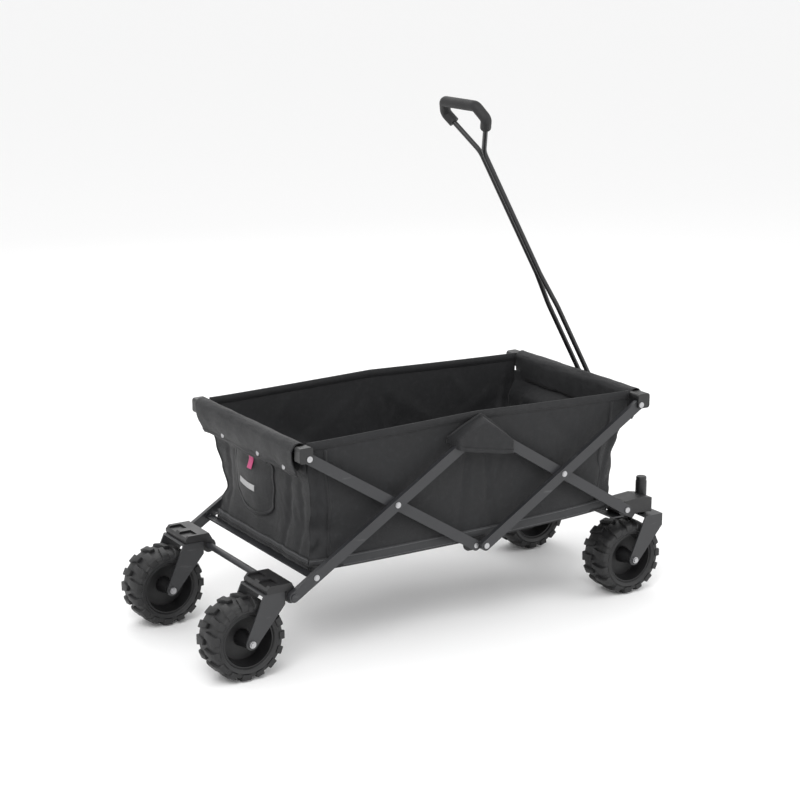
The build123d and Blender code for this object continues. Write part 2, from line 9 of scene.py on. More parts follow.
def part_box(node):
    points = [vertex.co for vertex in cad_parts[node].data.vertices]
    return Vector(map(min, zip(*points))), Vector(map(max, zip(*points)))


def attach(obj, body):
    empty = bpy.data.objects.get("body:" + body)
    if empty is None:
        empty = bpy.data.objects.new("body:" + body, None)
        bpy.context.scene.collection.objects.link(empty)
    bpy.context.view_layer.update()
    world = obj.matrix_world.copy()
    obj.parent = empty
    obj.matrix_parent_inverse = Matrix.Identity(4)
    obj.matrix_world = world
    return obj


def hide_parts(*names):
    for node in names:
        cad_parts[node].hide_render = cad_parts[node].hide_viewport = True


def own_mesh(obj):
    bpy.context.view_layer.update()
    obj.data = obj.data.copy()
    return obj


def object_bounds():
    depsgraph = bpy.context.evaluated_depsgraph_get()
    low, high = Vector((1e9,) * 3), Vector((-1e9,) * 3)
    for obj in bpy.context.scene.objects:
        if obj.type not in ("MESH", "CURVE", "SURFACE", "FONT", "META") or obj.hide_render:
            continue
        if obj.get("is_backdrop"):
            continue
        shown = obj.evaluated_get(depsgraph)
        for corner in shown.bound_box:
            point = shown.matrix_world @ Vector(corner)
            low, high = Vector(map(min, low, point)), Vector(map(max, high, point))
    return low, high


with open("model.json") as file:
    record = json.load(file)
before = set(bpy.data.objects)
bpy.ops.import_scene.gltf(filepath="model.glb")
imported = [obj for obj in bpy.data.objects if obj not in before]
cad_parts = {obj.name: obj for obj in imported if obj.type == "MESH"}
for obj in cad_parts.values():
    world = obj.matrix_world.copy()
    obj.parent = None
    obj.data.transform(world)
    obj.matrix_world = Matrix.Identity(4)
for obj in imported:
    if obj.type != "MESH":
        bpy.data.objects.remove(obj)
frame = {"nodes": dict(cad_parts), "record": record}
cad_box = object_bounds()

# Folding camp wagon in metres: +X to the handle end, +Y to the left side, floor at Z 0.

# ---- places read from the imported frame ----
wall_low, wall_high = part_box("basket_side_left")
rear_rail_low, rear_rail_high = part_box("rear_rail")
front_rail_low, front_rail_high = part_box("front_rail")
hub_low, hub_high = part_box("bottom_hub_bar")
arm_outer_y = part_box("rear_outer_arms")[1].y
rear_rail = (rear_rail_low + rear_rail_high) / 2
front_rail = (front_rail_low + front_rail_high) / 2
hub_x = (hub_low.x + hub_high.x) / 2
wall_y = wall_high.y
bottom_z = wall_low.z

# ---- sizes of the sewn work ----
cloth = 0.0014
tape_width = 0.026
tape_thickness = 0.0013
hub_rise = 0.011          # the rim stands higher over the middle hubs
rim_z = wall_high.z + 0.002
sleeve_radius = 0.0178
flap_drop = 0.062
snap_radius = 0.0065
snap_places = (0.1197, -0.0592, -0.1878)
seam_width = 0.009
end_reach = 0.055         # length over which the ends' gathers fade out
half_span = 0.42          # middle hub to either end, along the rim
seam_lap = 0.0025         # the side wall's end runs on past the end panel
panel_tuck = 0.030        # the end panel stops this far below its rail's middle
tuck_start = 0.085        # the panel starts to lean under the flap this far below the rail
tuck_full = 0.050         # and is wholly under it from here up
gusset_clear = 0.0070     # hood outside the outer arms
gusset_rear = 0.082       # hood's ends, from the middle of the hubs
gusset_front = 0.104
gusset_rear_z = 0.480     # heights of those ends
gusset_front_z = 0.436
gusset_open_z = 0.449     # the hood's open edge, at its rear end
gusset_open_drop = 0.016  # and how much lower it is at the front end
tread_blocks = 15         # on each side of a tyre


# ================= materials =================
def new_material(name, roughness, metallic=0.0):
    """Principled material with its node tree and shader."""
    material = bpy.data.materials.new(name)
    material.use_nodes = True
    tree = material.node_tree
    shader = tree.nodes["Principled BSDF"]
    shader.inputs["Roughness"].default_value = roughness
    shader.inputs["Metallic"].default_value = metallic
    return material, tree, shader


def coordinates(tree, kind):
    """Object coordinates in metres, or the cloth's own UV coordinates in metres."""
    return tree.nodes.new("ShaderNodeTexCoord").outputs[kind]


def noise_of(tree, place, scale, detail=4.0, stretch=(1, 1, 1)):
    """Noise value at a scale in cycles per metre."""
    mapping = tree.nodes.new("ShaderNodeMapping")
    mapping.inputs["Scale"].default_value = stretch
    tree.links.new(place, mapping.inputs["Vector"])
    node = tree.nodes.new("ShaderNodeTexNoise")
    node.inputs["Scale"].default_value = scale
    node.inputs["Detail"].default_value = detail
    tree.links.new(mapping.outputs["Vector"], node.inputs["Vector"])
    return node.outputs["Fac"]


def band(tree, place, direction, period):
    """Parallel bands with a period in metres."""
    node = tree.nodes.new("ShaderNodeTexWave")
    node.bands_direction = direction
    node.inputs["Scale"].default_value = 2 * math.pi / (20 * period)
    node.inputs["Distortion"].default_value = 0.0
    tree.links.new(place, node.inputs["Vector"])
    return node.outputs["Fac"]


def calculate(tree, operation, first, second=0.0):
    """One Math node on sockets or numbers."""
    node = tree.nodes.new("ShaderNodeMath")
    node.operation = operation
    for value, socket in ((first, node.inputs[0]), (second, node.inputs[1])):
        if isinstance(value, (int, float)):
            socket.default_value = value
        else:
            tree.links.new(value, socket)
    return node.outputs[0]


def remap(tree, value, low, high, to_low=0.0, to_high=1.0):
    """A value stretched from one range to another and held at its ends."""
    node = tree.nodes.new("ShaderNodeMapRange")
    numbers = (low, high, to_low, to_high)
    for number, socket in zip(numbers, node.inputs[1:5]):
        socket.default_value = number
    tree.links.new(value, node.inputs[0])
    return node.outputs[0]


def mix_colours(tree, share, first, second):
    """Colour between two colours or sockets by a share."""
    node = tree.nodes.new("ShaderNodeMix")
    node.data_type = "RGBA"
    tree.links.new(share, node.inputs[0])
    for value, socket in ((first, node.inputs[6]), (second, node.inputs[7])):
        if isinstance(value, tuple):
            socket.default_value = (*value, 1.0)
        else:
            tree.links.new(value, socket)
    return node.outputs[2]


def bump(tree, height, distance, strength=1.0, under=None):
    """Bump from a height, laid over another bump."""
    node = tree.nodes.new("ShaderNodeBump")
    node.inputs["Distance"].default_value = distance
    node.inputs["Strength"].default_value = strength
    tree.links.new(height, node.inputs["Height"])
    if under:
        tree.links.new(under, node.inputs["Normal"])
    return node.outputs["Normal"]


def woven(name, dark, light, period, stitched=False):
    """Coated polyester weave; a stitched tape also has a dashed thread line near both edges."""
    material, tree, shader = new_material(name, 0.62)
    shader.inputs["Sheen Weight"].default_value = 0.07
    shader.inputs["Sheen Roughness"].default_value = 0.45
    shader.inputs["Specular IOR Level"].default_value = 0.34
    cloth_uv = coordinates(tree, "UV")
    around = coordinates(tree, "Object")
    weave = calculate(tree, "MULTIPLY", band(tree, cloth_uv, "X", period), band(tree, cloth_uv, "Y", period))
    broad = remap(tree, noise_of(tree, around, 7.0, 3.0), 0.3, 0.7)
    rubbed = remap(tree, noise_of(tree, around, 90.0, 5.0), 0.52, 0.75)
    from_weave = calculate(tree, "MULTIPLY", weave, 0.45)
    from_broad = calculate(tree, "MULTIPLY", broad, 0.4)
    tone = calculate(tree, "ADD", from_weave, from_broad)
    colour = mix_colours(tree, tone, dark, light)
    dusty = mix_colours(tree, calculate(tree, "MULTIPLY", rubbed, 0.14), colour, (0.045, 0.046, 0.05))
    creases = bump(tree, noise_of(tree, around, 26.0, 5.0, (1, 1, 0.5)), 0.004, 0.5)
    surface = bump(tree, weave, 0.0003, 0.7, creases)
    if stitched:
        parts = tree.nodes.new("ShaderNodeSeparateXYZ")
        tree.links.new(cloth_uv, parts.inputs[0])
        across = calculate(tree, "SUBTRACT", parts.outputs[1], tape_width / 2)
        from_middle = calculate(tree, "ABSOLUTE", across)
        off_middle = calculate(tree, "SUBTRACT", from_middle, tape_width * 0.36)
        off_line = calculate(tree, "ABSOLUTE", off_middle)
        on_line = calculate(tree, "LESS_THAN", off_line, 0.0006)
        dash = calculate(tree, "LESS_THAN", calculate(tree, "MODULO", parts.outputs[0], 0.0042), 0.003)
        thread = calculate(tree, "MULTIPLY", on_line, dash)
        dusty = mix_colours(tree, thread, dusty, (0.10, 0.10, 0.105))
        surface = bump(tree, thread, 0.0005, 0.8, surface)
    tree.links.new(dusty, shader.inputs["Base Color"])
    tree.links.new(remap(tree, broad, 0.0, 1.0, 0.55, 0.72), shader.inputs["Roughness"])
    tree.links.new(surface, shader.inputs["Normal"])
    return material


def painted(name, colour, worn, roughness):
    """Powder coat: fine orange peel, uneven gloss and a few rubbed scuffs."""
    material, tree, shader = new_material(name, roughness)
    place = coordinates(tree, "Object")
    peel = noise_of(tree, place, 900.0, 2.0)
    cloudy = noise_of(tree, place, 14.0, 4.0)
    scuffs = remap(tree, noise_of(tree, place, 70.0, 6.0, (0.25, 1, 1)), 0.64, 0.74)
    tone = mix_colours(tree, remap(tree, cloudy, 0.3, 0.7), colour, tuple(c * 1.25 for c in colour))
    scuffed = mix_colours(tree, calculate(tree, "MULTIPLY", scuffs, 0.5), tone, worn)
    gloss = remap(tree, cloudy, 0.25, 0.75, roughness - 0.07, roughness + 0.1)
    tree.links.new(scuffed, shader.inputs["Base Color"])
    tree.links.new(gloss, shader.inputs["Roughness"])
    tree.links.new(bump(tree, peel, 0.0003, 0.35), shader.inputs["Normal"])
    return material


def plated(name, colour, roughness):
    """Zinc plate with brushed lines and dull spots."""
    material, tree, shader = new_material(name, roughness, 1.0)
    place = coordinates(tree, "Object")
    lines = noise_of(tree, place, 260.0, 3.0, (1, 0.1, 1))
    brushed = mix_colours(tree, lines, colour, tuple(c * 0.72 for c in colour))
    gloss = remap(tree, lines, 0.3, 0.7, roughness - 0.06, roughness + 0.14)
    tree.links.new(brushed, shader.inputs["Base Color"])
    tree.links.new(gloss, shader.inputs["Roughness"])
    tree.links.new(bump(tree, lines, 0.0002, 0.3), shader.inputs["Normal"])
    return material


def moulded(name, colour, roughness, grain, grain_depth):
    """Moulded plastic or rubber: fine grain, faint flow marks and random patches of dust."""
    material, tree, shader = new_material(name, roughness)
    place = coordinates(tree, "Object")
    grains = noise_of(tree, place, grain, 3.0)
    flow = noise_of(tree, place, 18.0, 4.0)
    dust = remap(tree, noise_of(tree, place, 45.0, 6.0), 0.55, 0.75)
    tone = mix_colours(tree, remap(tree, flow, 0.3, 0.7), colour, tuple(c * 1.4 + 0.001 for c in colour))
    dusty = mix_colours(tree, calculate(tree, "MULTIPLY", dust, 0.12), tone, (0.05, 0.049, 0.047))
    gloss = remap(tree, flow, 0.3, 0.7, roughness - 0.06, roughness + 0.08)
    tree.links.new(dusty, shader.inputs["Base Color"])
    tree.links.new(gloss, shader.inputs["Roughness"])
    tree.links.new(bump(tree, grains, grain_depth, 0.5), shader.inputs["Normal"])
    return material


fabric = woven("fabric", (0.0050, 0.0052, 0.0060), (0.0135, 0.0138, 0.0155), 0.0011)
mat_cloth = woven("mat_cloth", (0.0050, 0.0050, 0.0056), (0.012, 0.0122, 0.0132), 0.0014)
webbing = woven("webbing", (0.018, 0.0185, 0.020), (0.040, 0.041, 0.043), 0.0021, stitched=True)
label_cloth = woven("label_cloth", (0.34, 0.34, 0.34), (0.56, 0.56, 0.56), 0.0008)
tab_cloth = woven("tab_cloth", (0.42, 0.05, 0.15), (0.62, 0.10, 0.25), 0.0008)
frame_paint = painted("frame_paint", (0.018, 0.0185, 0.0205), (0.07, 0.07, 0.073), 0.38)
yoke_paint = painted("yoke_paint", (0.019, 0.0195, 0.021), (0.07, 0.07, 0.073), 0.40)
handle_paint = painted("handle_paint", (0.007, 0.007, 0.0075), (0.04, 0.04, 0.043), 0.36)
zinc = plated("zinc", (0.50, 0.50, 0.51), 0.34)
black_plastic = moulded("black_plastic", (0.0065, 0.0065, 0.007), 0.44, 1500.0, 0.0002)
rim_plastic = moulded("rim_plastic", (0.0045, 0.0045, 0.005), 0.50, 1100.0, 0.0003)
nylon = moulded("nylon", (0.05, 0.05, 0.05), 0.5, 1500.0, 0.0002)
tyre_rubber = moulded("tyre_rubber", (0.0065, 0.0065, 0.007), 0.58, 1300.0, 0.0004)
grip_foam = moulded("grip_foam", (0.0055, 0.0055, 0.006), 0.66, 800.0, 0.0008)

SLOT_MATERIALS = {
    "frame_steel": frame_paint, "yoke_steel": yoke_paint, "handle_steel": handle_paint,
    "bright_steel": zinc, "black_plastic": black_plastic, "rim_plastic": rim_plastic,
    "bush_plastic": nylon, "tyre_rubber": tyre_rubber, "grip_foam": grip_foam,
    "basket_fabric": fabric, "mat_fabric": mat_cloth,
}
EDGE_ROUNDING = {
    "rear_outer_arms": 0.0022, "rear_inner_arms": 0.0022,
    "front_outer_arms": 0.0022, "front_inner_arms": 0.0022,
    "rear_yokes": 0.0009, "front_left_yoke": 0.0009, "front_right_yoke": 0.0009,
}


def dress_cad_nodes():
    """Give every CAD node its material, and round the pressed edges of arms and yokes."""
    slots = {row["node"]: row["material_slot"] for row in frame["record"]["subparts"]}
    for node, part in frame["nodes"].items():
        part.data.materials.clear()
        part.data.materials.append(SLOT_MATERIALS[slots[node]])
        if node in EDGE_ROUNDING:
            rounding = part.modifiers.new("rounding", "BEVEL")
            rounding.width = EDGE_ROUNDING[node]
            rounding.segments = 3
            rounding.angle_limit = math.radians(60)


# ================= mesh helpers =================
def make_object(name, points, faces, material, uvs=None, smooth=True):
    """New mesh object from points and faces, with UVs given for each point."""
    mesh = bpy.data.meshes.new(name)
    mesh.from_pydata([tuple(p) for p in points], [], faces)
    mesh.materials.append(material)
    if uvs:
        layer = mesh.uv_layers.new(name="cloth")
        for loop in mesh.loops:
            layer.data[loop.index].uv = uvs[loop.vertex_index]
    mesh.update()
    piece = bpy.data.objects.new(name, mesh)
    bpy.context.collection.objects.link(piece)
    if smooth:
        mesh.shade_smooth()
    return piece


def grid(name, place, columns, rows, size, material, thickness=cloth):
    """Sheet of cloth: place(u, v) for u and v from 0 to 1, with UVs in metres over size."""
    points, uvs, faces = [], [], []
    for j in range(rows + 1):
        for i in range(columns + 1):
            u, v = i / columns, j / rows
            points.append(place(u, v))
            uvs.append((u * size[0], v * size[1]))
    for j in range(rows):
        for i in range(columns):
            a = j * (columns + 1) + i
            faces.append((a, a + 1, a + columns + 2, a + columns + 1))
    sheet = make_object(name, points, faces, material, uvs)
    shell = sheet.modifiers.new("cloth", "SOLIDIFY")
    shell.thickness = thickness
    shell.offset = 0.0
    return sheet


def tape(name, path, outward, material=webbing, width=tape_width, thickness=tape_thickness):
    """Sewn tape along a path of points; outward(i) is the surface normal at each point."""
    across = (-0.5, -0.47, 0.0, 0.47, 0.5, 0.0)
    height = (0.0, 1.0, 1.15, 1.0, 0.0, -0.2)
    points, uvs, faces = [], [], []
    length = 0.0
    count = len(across)
    for i, point in enumerate(path):
        ahead = path[min(i + 1, len(path) - 1)] - path[max(i - 1, 0)]
        normal = outward(i).normalized()
        side = ahead.normalized().cross(normal).normalized()
        if i:
            length += (point - path[i - 1]).length
        for share, lift in zip(across, height):
            points.append(point + side * share * width + normal * lift * thickness)
            uvs.append((length, (share + 0.5) * width))
    for i in range(len(path) - 1):
        for k in range(count):
            a, b = i * count + k, i * count + (k + 1) % count
            faces.append((a, b, b + count, a + count))
    faces.append(tuple(range(count))[::-1])
    last = (len(path) - 1) * count
    faces.append(tuple(range(last, last + count)))
    strip = make_object(name, points, faces, material, uvs)
    return strip


def profile(table, value):
    """Smooth curve through (value, result) rows."""
    if value <= table[0][0]:
        return table[0][1]
    for (low, first), (high, second) in zip(table, table[1:]):
        if value <= high:
            share = (value - low) / (high - low)
            share = share * share * (3 - 2 * share)
            return first + (second - first) * share
    return table[-1][1]


def ripple(x, y, z, scale, seed):
    """Smooth noise from -1 to 1."""
    return noise.noise(Vector((x * scale + seed, y * scale, z * scale)))


def crease(x, z, fold):
    """Depth of a soft crease along a line (x1, z1, x2, z2, depth, width)."""
    x1, z1, x2, z2, depth, width = fold
    dx, dz = x2 - x1, z2 - z1
    along = ((x - x1) * dx + (z - z1) * dz) / (dx * dx + dz * dz)
    inside = max(0.0, min(1.0, along))
    off = math.hypot(x - x1 - inside * dx, z - z1 - inside * dz)
    fade = math.sin(math.pi * (0.15 + 0.7 * inside))
    return depth * fade * math.exp(-((off / width) ** 2))


# ================= basket =================
# How far the ends are drawn in at each height: along X at the corners, and across Y.
HEIGHTS = (bottom_z, 0.275, 0.31, 0.36, 0.41, 0.455, rim_z)
REAR_DRAW = tuple(zip(HEIGHTS, (0.008, 0.016, 0.024, 0.019, 0.010, 0.002, 0.0)))
FRONT_DRAW = tuple(zip(HEIGHTS, (0.048, 0.034, 0.018, 0.032, 0.024, 0.004, 0.0)))
WAIST = tuple(zip(HEIGHTS, (0.010, 0.020, 0.036, 0.018, 0.006, 0.001, 0.0)))


WALL_SEEDS = {1: 2.0, -1: 7.0}    # by side: 1 is the left wall, -1 the right


def rear_edge(z):
    """X of the basket's rear corner at a height."""
    return wall_low.x + 0.002 + profile(REAR_DRAW, z)


def front_edge(z):
    """X of the basket's front corner at a height."""
    return wall_high.x - 0.002 - profile(FRONT_DRAW, z)


def waist(z):
    """How far the basket's ends are drawn in at a height."""
    return profile(WAIST, z)


def rim_height(x):
    """Height of the basket's rim along the wagon; it peaks over the middle hub."""
    reach = min(1.0, abs(x - hub_x) / half_span)
    return rim_z + hub_rise * (1 - reach) ** 1.2


def hem_height(x):
    """Height of the basket's bottom edge, which rises slightly to the front."""
    return bottom_z - 0.005 + 0.012 * max(0.0, (x - hub_x) / half_span) ** 1.3


def side_folds(seed):
    """Creases of one side wall: down from the rim, by the arms and in to the corners."""
    left, right = wall_low.x, wall_high.x
    return [
        (hub_x - 0.02, 0.45, hub_x - 0.045, 0.24, 0.0045, 0.010),
        (hub_x + 0.03, 0.45, hub_x + 0.05, 0.24, 0.0040, 0.009),
        (hub_x + 0.08, 0.44, hub_x + 0.015, 0.25, 0.0030, 0.012),
        (left + 0.030, 0.47, left + 0.045, 0.26, 0.0055, 0.009),
        (left + 0.065, 0.30, left + 0.012, 0.245, 0.0060, 0.010),
        (left + 0.055, 0.36, left + 0.085, 0.24, 0.0040, 0.008),
        (left + 0.030, 0.48, hub_x - 0.05, 0.27, 0.0030, 0.018),
        (hub_x - 0.05, 0.47, left + 0.10, 0.25, 0.0026, 0.020),
        (hub_x + 0.05, 0.47, right - 0.10, 0.27, 0.0030, 0.018),
        (right - 0.030, 0.47, hub_x + 0.08, 0.25, 0.0026, 0.020),
        (right - 0.040, 0.46, right - 0.075, 0.27, 0.0045, 0.010),
        (right - 0.02, 0.31, right - 0.10, 0.25, 0.0040, 0.009),
        (left + 0.20 + seed * 0.01, 0.50, left + 0.17, 0.42, 0.0022, 0.015),
        (right - 0.19 - seed * 0.01, 0.50, right - 0.15, 0.41, 0.0022, 0.015),
    ]


def wall_depth(x, z, seed):
    """How far the side wall stands in from its outermost plane."""
    to_end = min(x - rear_edge(z), front_edge(z) - x)
    drawn = waist(z) * math.exp(-max(0.0, to_end) / end_reach)
    middle = max(0.0, math.sin(math.pi * (z - bottom_z) / (rim_z - bottom_z)))
    soft = 0.0024 * middle * (1 + ripple(x, seed, z, 9.0, seed))
    small = 0.0011 * middle * abs(ripple(x, seed, z, 34.0, seed + 5))
    return 0.0012 + drawn + soft + small + sum(crease(x, z, fold) for fold in side_folds(seed))


def wall_point(side, x, z, seed):
    """Point on a side wall; side is 1 on the left and -1 on the right."""
    return Vector((x, side * (wall_y - wall_depth(x, z, seed)), z))


def panel_span(end, z):
    """Where an end panel meets the inner faces of the right and the left wall at a height."""
    x = (rear_edge(z) if end < 0 else front_edge(z)) - end * seam_lap
    right = -(wall_y - wall_depth(x, z, WALL_SEEDS[-1]))
    left = wall_y - wall_depth(x, z, WALL_SEEDS[1])
    return right, left


def carry(piece, body):
    """Ride on a body; a piece on the top hubs also gets a mesh of its own."""
    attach(piece, body)
    if body == "top_hubs":
        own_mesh(piece)


def side_wall(name, side, seed):
    """One long wall with its rim hem, bottom tape and vertical seams."""
    def place(u, v):
        z_guess = bottom_z + v * (rim_z - bottom_z)
        x = rear_edge(z_guess) + u * (front_edge(z_guess) - rear_edge(z_guess))
        low, high = hem_height(x), rim_height(x)
        return wall_point(side, x, low + v * (high - low), seed)

    length, height = wall_high.x - wall_low.x, rim_z - bottom_z
    wall = grid(f"side_wall_{name}", place, 190, 64, (length, height), fabric)
    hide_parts(f"basket_side_{name}")
    outward = Vector((0, side, 0))
    steps = 120
    path = [place(i / steps, 0.999) + Vector((0, 0, -0.009)) for i in range(steps + 1)]
    rim = tape(f"rim_hem_{name}", [p + outward * 0.0007 for p in path], lambda i: outward,
               material=fabric, width=0.020)
    inner_rim = tape(f"rim_hem_inside_{name}", [p - outward * 0.0007 for p in path],
                     lambda i: -outward, material=fabric, width=0.020)
    lower = [place(i / steps, 0.047) + outward * 0.0006 for i in range(steps + 1)]
    hem = tape(f"bottom_tape_{name}", lower, lambda i: outward)
    seams = []
    for label, share in (("rear", 0.052), ("front", 0.945)):
        upright = [place(share, 0.09 + 0.84 * i / 40) + outward * 0.0005 for i in range(41)]
        seams.append(tape(f"side_seam_{label}_{name}", upright, lambda i: outward,
                          material=fabric, width=seam_width, thickness=0.0011))
    for piece in (wall, rim, inner_rim, hem, *seams):
        carry(piece, "top_hubs")


def end_panel(name, end, rail, body, seed):
    """End panel from the floor to the rail, with a flap rolled over the rail and snapped down."""
    edge = rear_edge if end < 0 else front_edge
    top = rail.z - panel_tuck
    tucked_x = rail.x - end * 0.007

    def place(u, v):
        z = bottom_z - 0.003 + v * (top - bottom_z + 0.003)
        right, left = panel_span(end, z)
        y = right + u * (left - right)
        inner = 1 - (u * 2 - 1) ** 2
        free = 1 - abs(u * 2 - 1) ** 8
        belly = 0.010 * inner * math.sin(math.pi * min(1.0, v * 1.15))
        gather = 0.0012 * (1 - inner) * math.sin(y * 150 + 30 * ripple(y, 0, z, 5.0, seed))
        ruffle = 0.0036 * ripple(y * 2, seed, z * 0.5, 6.0, seed) + 0.0012 * ripple(y, seed, z, 22.0, seed)
        drape = crease(y, z, (-0.15, 0.46, -0.10, 0.24, 0.006, 0.012))
        drape += crease(y, z, (-0.19, 0.44, -0.17, 0.25, 0.005, 0.010))
        drape += crease(y, z, (0.16, 0.45, 0.18, 0.26, 0.005, 0.011))
        x = edge(z) - end * seam_lap + end * (belly + (gather + ruffle - drape) * free)
        under = profile(((rail.z - tuck_start, 0.0), (rail.z - tuck_full, 1.0)), z)
        under *= free
        return Vector((x + (tucked_x - x) * under, y, z))

    width, height = 2 * wall_y, top - bottom_z
    panel = grid(f"{name}_panel_cloth", place, 110, 60, (width, height), fabric)
    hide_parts(f"{name}_panel")

    arc = [(0.014, -0.054), (0.0158, -0.036), (0.0176, -0.018)]
    arc += [(sleeve_radius * math.cos(math.radians(a)), sleeve_radius * math.sin(math.radians(a)))
            for a in range(0, 181, 12)]
    arc += [(-0.0175, -0.010), (-0.0160, -0.022), (-0.0115, -0.036), (-0.0040, -0.050), (0.001, -flap_drop)]

    def wrap(u, v):
        spot = v * (len(arc) - 1)
        k = min(int(spot), len(arc) - 2)
        share = spot - k
        inward = arc[k][0] + (arc[k + 1][0] - arc[k][0]) * share
        up = arc[k][1] + (arc[k + 1][1] - arc[k][1]) * share
        y = (u * 2 - 1) * (wall_y + 0.001 - 0.010 * max(0.0, v - 0.72) / 0.28)
        loose = 1 + 0.06 * ripple(y * 2, seed, v * 1.2, 6.0, seed) + 0.05 * ripple(y, v, seed, 28.0, seed)
        tuck = 0.0016 * math.sin(y * 60 + seed) * max(0.0, v - 0.6)
        return Vector((rail.x - end * (inward * loose) + end * tuck, y, rail.z + up * loose))

    flap = grid(f"{name}_rail_flap", wrap, 120, 46, (width, 0.20), fabric, thickness=0.0018)
    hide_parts(f"{name}_rail_sleeve")
    edge_path = [wrap(i / 80, 0.985) + Vector((end * 0.0016, 0, 0.006)) for i in range(81)]
    edging = tape(f"{name}_flap_edging", edge_path, lambda i: Vector((end, 0, 0.1)),
                  material=fabric, width=0.010)
    foot_path = [place(0.01 + 0.98 * i / 80, 0.05) + Vector((end * 0.0012, 0, 0)) for i in range(81)]
    foot = tape(f"{name}_bottom_tape", foot_path, lambda i: Vector((end, 0, 0)))
    for piece in (panel, flap, edging, foot):
        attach(piece, body)
    for number, y in enumerate(snap_places):
        u = (y / (wall_y + 0.001) + 1) / 2
        spot = wrap(u, 0.945)
        snap(f"{name}_snap_{number}", spot + Vector((end * 0.0014, 0, 0)), end, body)
    return place


def snap(name, place, end, body):
    """Press stud cap: a domed disc with a rolled rim, facing along X."""
    rings = (
        (0.0, 0.0018), (0.35, 0.0019), (0.62, 0.0015), (0.72, 0.0010),
        (0.82, 0.0016), (0.95, 0.0014), (1.0, 0.0),
    )
    count = 28
    points, faces = [place + Vector((end * rings[0][1], 0, 0))], []
    for share, lift in rings[1:]:
        for k in range(count):
            angle = 2 * math.pi * k / count
            radius = snap_radius * share
            points.append(place + Vector((end * lift, radius * math.cos(angle), radius * math.sin(angle))))
    for k in range(count):
        faces.append((0, 1 + k, 1 + (k + 1) % count))
    for ring in range(len(rings) - 2):
        base = 1 + ring * count
        for k in range(count):
            after = (k + 1) % count
            faces.append((base + k, base + count + k, base + count + after, base + after))
    cap = make_object(name, points, faces, zinc)
    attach(cap, body)


def rear_pocket(panel_place):
    """Flat pouch sewn on the rear panel, with a plain label strip and a folded tab."""
    top = rear_rail.z - 0.0610
    low = bottom_z + 0.068
    lift = Vector((-1, 0, 0))

    def on_panel(y, z, out):
        right, left = panel_span(-1, z)
        u = (y - right) / (left - right)
        v = (z - bottom_z + 0.003) / (rear_rail.z - panel_tuck - bottom_z + 0.003)
        return panel_place(u, v) + lift * out

    def place(u, v):
        side = u * 2 - 1
        middle = 0.020 + 0.017 * (1 - v)
        half = 0.086 + 0.006 * math.sin(math.pi * v)
        floor = low + 0.030 * abs(side) ** 3
        z = floor + v * (top - floor)
        rise = 0.0015 + 0.0095 * (1 - side ** 4) * math.sin(math.pi * min(1, 0.12 + v * 0.80))
        return on_panel(middle + side * half, z, rise)

    pouch = grid("rear_pocket", place, 40, 36, (0.172, top - low), fabric)
    edge = [place(0.0, 1 - i / 30) for i in range(31)]
    edge += [place(i / 30, 0.0) for i in range(1, 31)]
    edge += [place(1.0, i / 30) for i in range(1, 31)]
    border = tape("pocket_border", [p + lift * 0.0006 for p in edge], lambda i: lift,
                  material=fabric, width=0.008)
    mouth = tape("pocket_mouth", [place(i / 30, 0.965) + lift * 0.0008 for i in range(31)], lambda i: lift,
                 material=fabric, width=0.014)
    label = grid("label_strip", lambda u, v: place(0.42 + 0.42 * u, 0.34 + 0.10 * v) + lift * 0.0012,
                 12, 6, (0.062, 0.020), label_cloth, thickness=0.0006)

    def tab_place(u, v):
        stand_off = 0.002 + 0.003 * (1 - v)
        return place(0.50, 0.70 + 0.20 * v) + Vector((-stand_off, 0.020 * (u - 0.5), 0))

    tab = grid("pull_tab", tab_place, 6, 10, (0.017, 0.026), tab_cloth, thickness=0.0012)
    for piece in (pouch, border, mouth, label, tab):
        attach(piece, "rear_top")


def gusset(name, side, seed):
    """Fabric hood over a top hub: sewn to the rim along its slanted edges, open below."""
    outer = arm_outer_y + gusset_clear
    peak = Vector((hub_x + 0.008, 0, rim_height(hub_x) - 0.006))
    left_end, right_end = hub_x - gusset_rear, hub_x + gusset_front

    def place(u, v):
        x = left_end + u * (right_end - left_end)
        if x < peak.x:
            slant = (x - left_end) / (peak.x - left_end)
            upper = gusset_rear_z + (peak.z - gusset_rear_z) * slant ** 0.8
        else:
            slant = (right_end - x) / (right_end - peak.x)
            upper = gusset_front_z + (peak.z - gusset_front_z) * slant ** 0.8
        lower = upper - (0.010 + 0.068 * slant ** 0.75) - 0.004 * math.sin(math.pi * u)
        lower = max(lower, gusset_open_z - gusset_open_drop * u)
        lower = min(lower, upper - 0.001)
        z = lower + v * (upper - lower)
        ends = min(1.0, slant * (9.0 if x < peak.x else 3.4))
        swell = min(1.0, ((1 - v) + 0.02) * 5.0) * ends
        swell = swell * swell * (3 - 2 * swell)
        wall = wall_y + 0.0006
        y = wall + (outer - wall) * swell + 0.0012 * ripple(x, seed, z, 45.0, seed)
        return Vector((x, side * y, z))

    hood = grid(f"hub_gusset_{name}", place, 72, 30, (right_end - left_end, 0.09), fabric)
    outward = Vector((0, side, 0))
    open_edge = [place(0.02 + 0.96 * i / 60, 0.02) + outward * 0.001 for i in range(61)]
    sewn_edge = [place(0.01 + 0.98 * i / 60, 0.97) + outward * 0.0012 for i in range(61)]
    border = tape(f"gusset_edge_{name}", open_edge, lambda i: outward, material=fabric, width=seam_width)
    sewn = tape(f"gusset_seam_{name}", sewn_edge, lambda i: outward, material=fabric, width=seam_width)
    for piece in (hood, border, sewn):
        carry(piece, "top_hubs")


